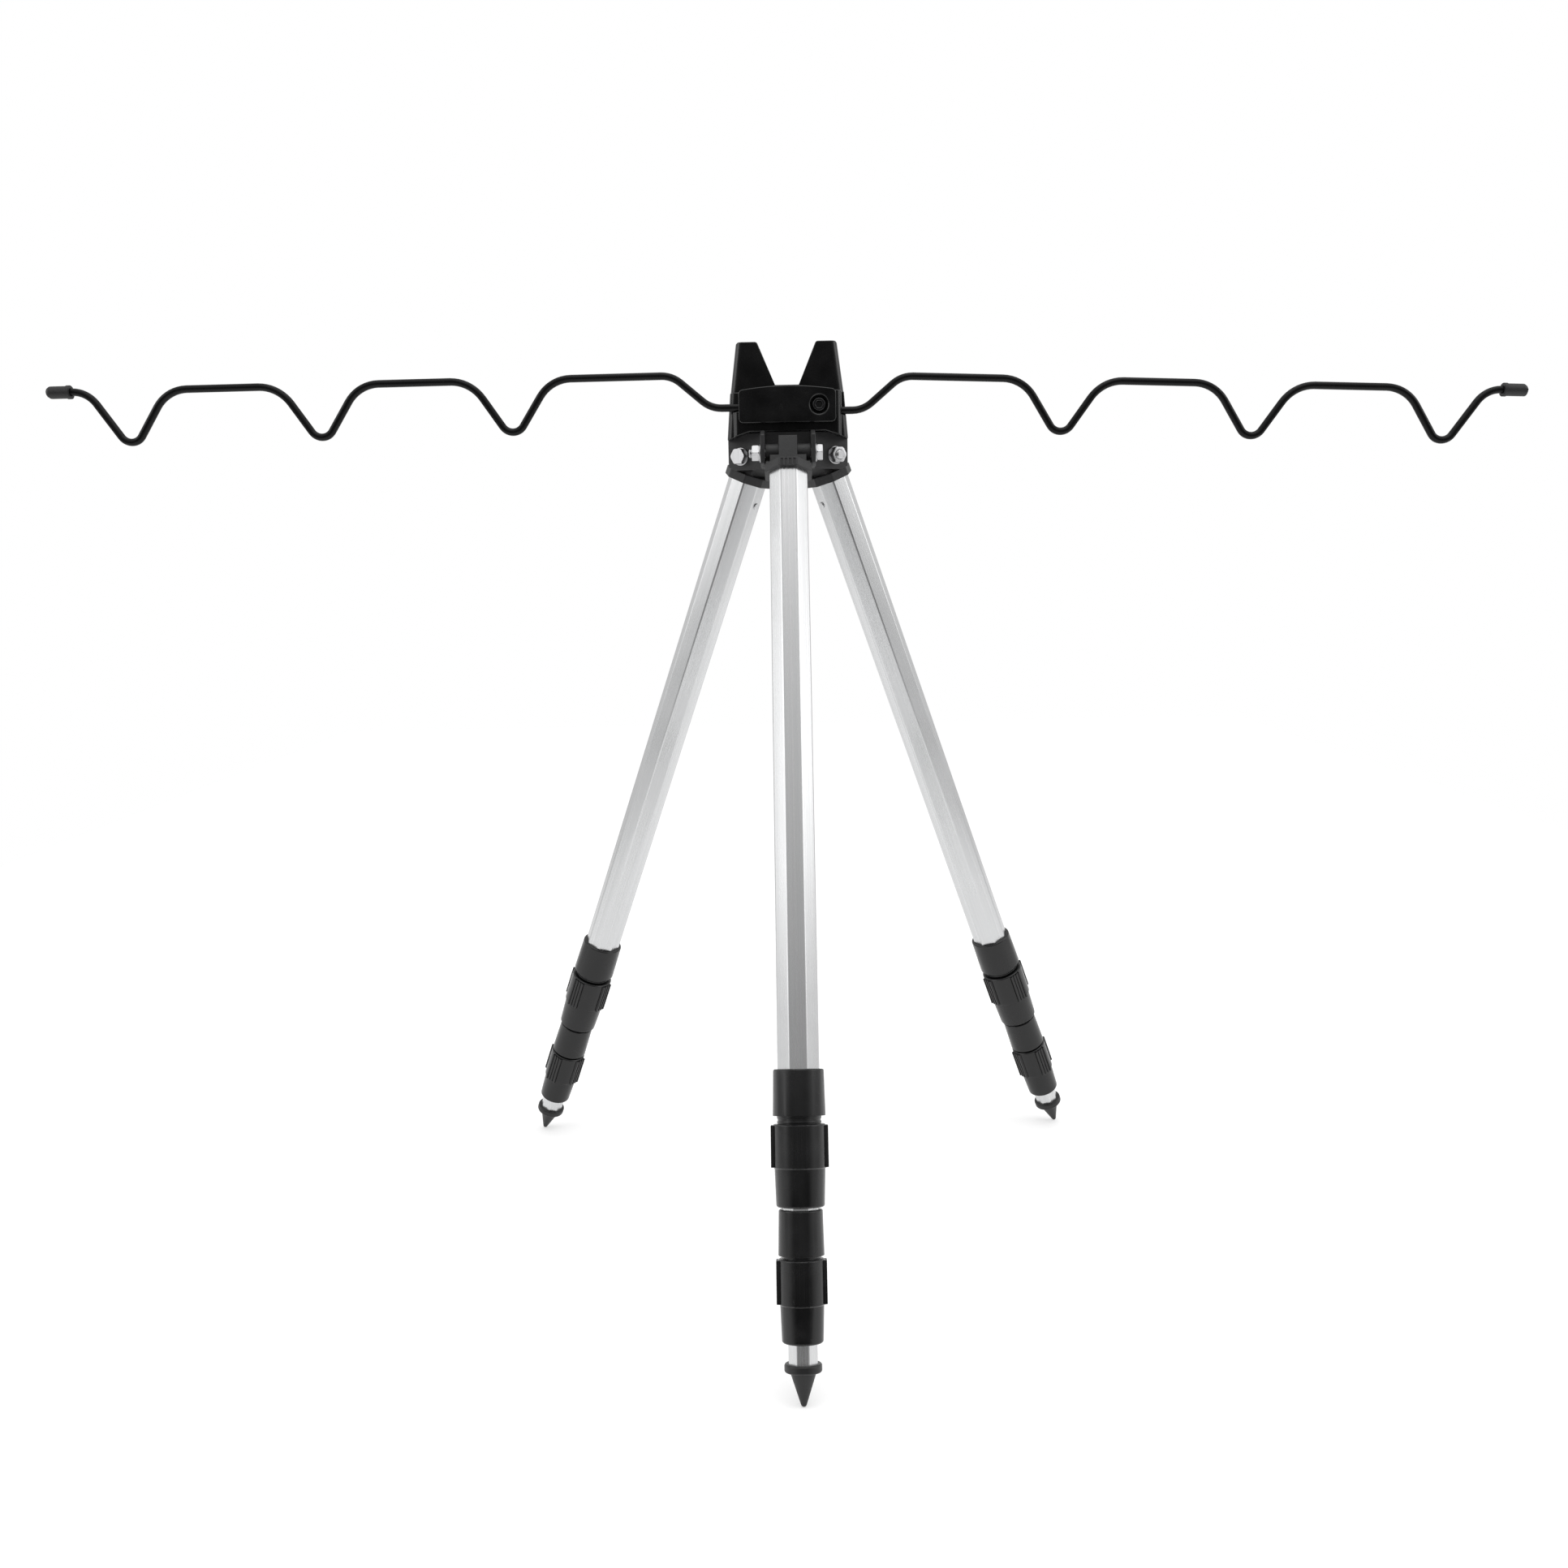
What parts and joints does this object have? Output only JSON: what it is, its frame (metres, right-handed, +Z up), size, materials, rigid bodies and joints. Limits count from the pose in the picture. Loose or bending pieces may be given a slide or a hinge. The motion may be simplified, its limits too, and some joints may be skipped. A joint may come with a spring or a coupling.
{
  "type": "rod pod",
  "caption": "Standing rod pod: a plastic head with a forked rest and two folding wire arms with rod notches, on telescopic octagonal tripod legs with twist locks and spike feet.",
  "frame": {"origin": "on the tripod's upright axis, at the ground that the three spikes stand on", "axes": "+Z up, +X along the right arm, -Y towards the front leg"},
  "size_m": [0.9948, 0.3853, 0.6176],
  "materials": {
    "bright_aluminium": "bright drawn tube with die lines",
    "gloss_black": "moulded, satin to glossy",
    "black_plastic": "moulded, finely textured",
    "black_wire": "black powder coat on steel wire",
    "soft_cap": "dull soft moulding",
    "zinc_steel": "bright zinc",
    "dark_steel": "black oxide",
    "nylon": "natural, slippery",
    "brass_insert": "turned"
  },
  "bodies": {
    "head": {"leg_base": "black_plastic", "fork_body": "gloss_black", "front_jaw": "gloss_black", "front_clamp_plate": "gloss_black", "rear_clamp_plate": "gloss_black", "clamp_screws": "dark_steel", "clamp_nuts": "zinc_steel", "head_bolt": "zinc_steel", "head_insert": "brass_insert", "hinge_bolts": "zinc_steel", "hinge_nuts": "zinc_steel", "hinge_washers": "zinc_steel"},
    "left_arm": {"left_arm_wire": "black_wire", "left_arm_cap": "soft_cap"},
    "right_arm": {"right_arm_wire": "black_wire", "right_arm_cap": "soft_cap"},
    "front_upper_leg": {"front_leg_plug": "black_plastic", "front_upper_tube": "bright_aluminium", "front_tube_rivet": "bright_aluminium", "front_upper_collar": "black_plastic"},
    "front_upper_collet_ring": {"front_upper_collet": "nylon"},
    "front_upper_twist_nut": {"front_upper_nut": "black_plastic"},
    "front_middle_leg": {"front_middle_guide": "nylon", "front_middle_tube": "bright_aluminium", "front_middle_collar": "black_plastic"},
    "front_lower_collet_ring": {"front_lower_collet": "nylon"},
    "front_lower_twist_nut": {"front_lower_nut": "black_plastic"},
    "front_inner_leg": {"front_inner_guide": "nylon", "front_inner_tube": "bright_aluminium", "front_foot_spike": "black_plastic"},
    "left_upper_leg": {"left_leg_plug": "black_plastic", "left_upper_tube": "bright_aluminium", "left_tube_rivet": "bright_aluminium", "left_upper_collar": "black_plastic"},
    "left_upper_collet_ring": {"left_upper_collet": "nylon"},
    "left_upper_twist_nut": {"left_upper_nut": "black_plastic"},
    "left_middle_leg": {"left_middle_guide": "nylon", "left_middle_tube": "bright_aluminium", "left_middle_collar": "black_plastic"},
    "left_lower_collet_ring": {"left_lower_collet": "nylon"},
    "left_lower_twist_nut": {"left_lower_nut": "black_plastic"},
    "left_inner_leg": {"left_inner_guide": "nylon", "left_inner_tube": "bright_aluminium", "left_foot_spike": "black_plastic"},
    "right_upper_leg": {"right_leg_plug": "black_plastic", "right_upper_tube": "bright_aluminium", "right_tube_rivet": "bright_aluminium", "right_upper_collar": "black_plastic"},
    "right_upper_collet_ring": {"right_upper_collet": "nylon"},
    "right_upper_twist_nut": {"right_upper_nut": "black_plastic"},
    "right_middle_leg": {"right_middle_guide": "nylon", "right_middle_tube": "bright_aluminium", "right_middle_collar": "black_plastic"},
    "right_lower_collet_ring": {"right_lower_collet": "nylon"},
    "right_lower_twist_nut": {"right_lower_nut": "black_plastic"},
    "right_inner_leg": {"right_inner_guide": "nylon", "right_inner_tube": "bright_aluminium", "right_foot_spike": "black_plastic"}
  },
  "joints": [
    {"name": "left_arm_fold", "type": "hinge", "parent": "head", "child": "left_arm", "pos_m": [-0.0212, -0.0127, 0.57446], "axis": [0, 1, 0], "range_deg": [0, 90]},
    {"name": "right_arm_fold", "type": "hinge", "parent": "head", "child": "right_arm", "pos_m": [0.0212, -0.0069, 0.57446], "axis": [0, -1, 0], "range_deg": [0, 90]},
    {"name": "front_leg_fold", "type": "hinge", "parent": "head", "child": "front_upper_leg", "pos_m": [0, -0.0268, 0.54266], "axis": [1, 0, 0], "range_deg": [0, 22.4]},
    {"name": "front_middle_slide", "type": "slide", "parent": "front_upper_leg", "child": "front_middle_leg", "axis": [0, -0.3811, -0.9245], "range_m": [0, 0.346]},
    {"name": "front_inner_slide", "type": "slide", "parent": "front_middle_leg", "child": "front_inner_leg", "axis": [0, -0.3811, -0.9245], "range_m": [0, 0.4]},
    {"name": "front_upper_collet_slide", "type": "slide", "parent": "front_upper_leg", "child": "front_upper_collet_ring", "axis": [0, 0.3811, 0.9245], "range_m": [0, 0.0042]},
    {"name": "front_upper_nut_twist", "type": "hinge", "parent": "front_upper_collet_ring", "child": "front_upper_twist_nut", "pos_m": [0, -0.19127, 0.14363], "axis": [0, 0.3811, 0.9245], "range_deg": [0, 302.3]},
    {"name": "front_lower_collet_slide", "type": "slide", "parent": "front_middle_leg", "child": "front_lower_collet_ring", "axis": [0, 0.3811, 0.9245], "range_m": [0, 0.0012]},
    {"name": "front_lower_nut_twist", "type": "hinge", "parent": "front_lower_collet_ring", "child": "front_lower_twist_nut", "pos_m": [0, -0.22, 0.07391], "axis": [0, 0.3811, 0.9245], "range_deg": [0, 86.4]},
    {"name": "left_leg_fold", "type": "hinge", "parent": "head", "child": "left_upper_leg", "pos_m": [-0.02321, 0.0134, 0.54266], "axis": [-0.5, -0.866, 0], "range_deg": [0, 22.4]},
    {"name": "left_middle_slide", "type": "slide", "parent": "left_upper_leg", "child": "left_middle_leg", "axis": [-0.33, 0.1905, -0.9245], "range_m": [0, 0.346]},
    {"name": "left_inner_slide", "type": "slide", "parent": "left_middle_leg", "child": "left_inner_leg", "axis": [-0.33, 0.1905, -0.9245], "range_m": [0, 0.4]},
    {"name": "left_upper_collet_slide", "type": "slide", "parent": "left_upper_leg", "child": "left_upper_collet_ring", "axis": [0.33, -0.1905, 0.9245], "range_m": [0, 0.0042]},
    {"name": "left_upper_nut_twist", "type": "hinge", "parent": "left_upper_collet_ring", "child": "left_upper_twist_nut", "pos_m": [-0.16564, 0.09563, 0.14363], "axis": [0.33, -0.1905, 0.9245], "range_deg": [0, 302.3]},
    {"name": "left_lower_collet_slide", "type": "slide", "parent": "left_middle_leg", "child": "left_lower_collet_ring", "axis": [0.33, -0.1905, 0.9245], "range_m": [0, 0.0012]},
    {"name": "left_lower_nut_twist", "type": "hinge", "parent": "left_lower_collet_ring", "child": "left_lower_twist_nut", "pos_m": [-0.19053, 0.11, 0.07391], "axis": [0.33, -0.1905, 0.9245], "range_deg": [0, 86.4]},
    {"name": "right_leg_fold", "type": "hinge", "parent": "head", "child": "right_upper_leg", "pos_m": [0.02321, 0.0134, 0.54266], "axis": [-0.5, 0.866, 0], "range_deg": [0, 22.4]},
    {"name": "right_middle_slide", "type": "slide", "parent": "right_upper_leg", "child": "right_middle_leg", "axis": [0.33, 0.1905, -0.9245], "range_m": [0, 0.346]},
    {"name": "right_inner_slide", "type": "slide", "parent": "right_middle_leg", "child": "right_inner_leg", "axis": [0.33, 0.1905, -0.9245], "range_m": [0, 0.4]},
    {"name": "right_upper_collet_slide", "type": "slide", "parent": "right_upper_leg", "child": "right_upper_collet_ring", "axis": [-0.33, -0.1905, 0.9245], "range_m": [0, 0.0042]},
    {"name": "right_upper_nut_twist", "type": "hinge", "parent": "right_upper_collet_ring", "child": "right_upper_twist_nut", "pos_m": [0.16564, 0.09563, 0.14363], "axis": [-0.33, -0.1905, 0.9245], "range_deg": [0, 302.3]},
    {"name": "right_lower_collet_slide", "type": "slide", "parent": "right_middle_leg", "child": "right_lower_collet_ring", "axis": [-0.33, -0.1905, 0.9245], "range_m": [0, 0.0012]},
    {"name": "right_lower_nut_twist", "type": "hinge", "parent": "right_lower_collet_ring", "child": "right_lower_twist_nut", "pos_m": [0.19053, 0.11, 0.07391], "axis": [-0.33, -0.1905, 0.9245], "range_deg": [0, 86.4]}
  ],
  "couplings": [
    {"joint": "front_upper_collet_slide", "follows": "front_upper_nut_twist", "m_per_rad": 0.00079577},
    {"joint": "front_lower_collet_slide", "follows": "front_lower_nut_twist", "m_per_rad": 0.00079577},
    {"joint": "left_upper_collet_slide", "follows": "left_upper_nut_twist", "m_per_rad": 0.00079577},
    {"joint": "left_lower_collet_slide", "follows": "left_lower_nut_twist", "m_per_rad": 0.00079577},
    {"joint": "right_upper_collet_slide", "follows": "right_upper_nut_twist", "m_per_rad": 0.00079577},
    {"joint": "right_lower_collet_slide", "follows": "right_lower_nut_twist", "m_per_rad": 0.00079577}
  ]
}
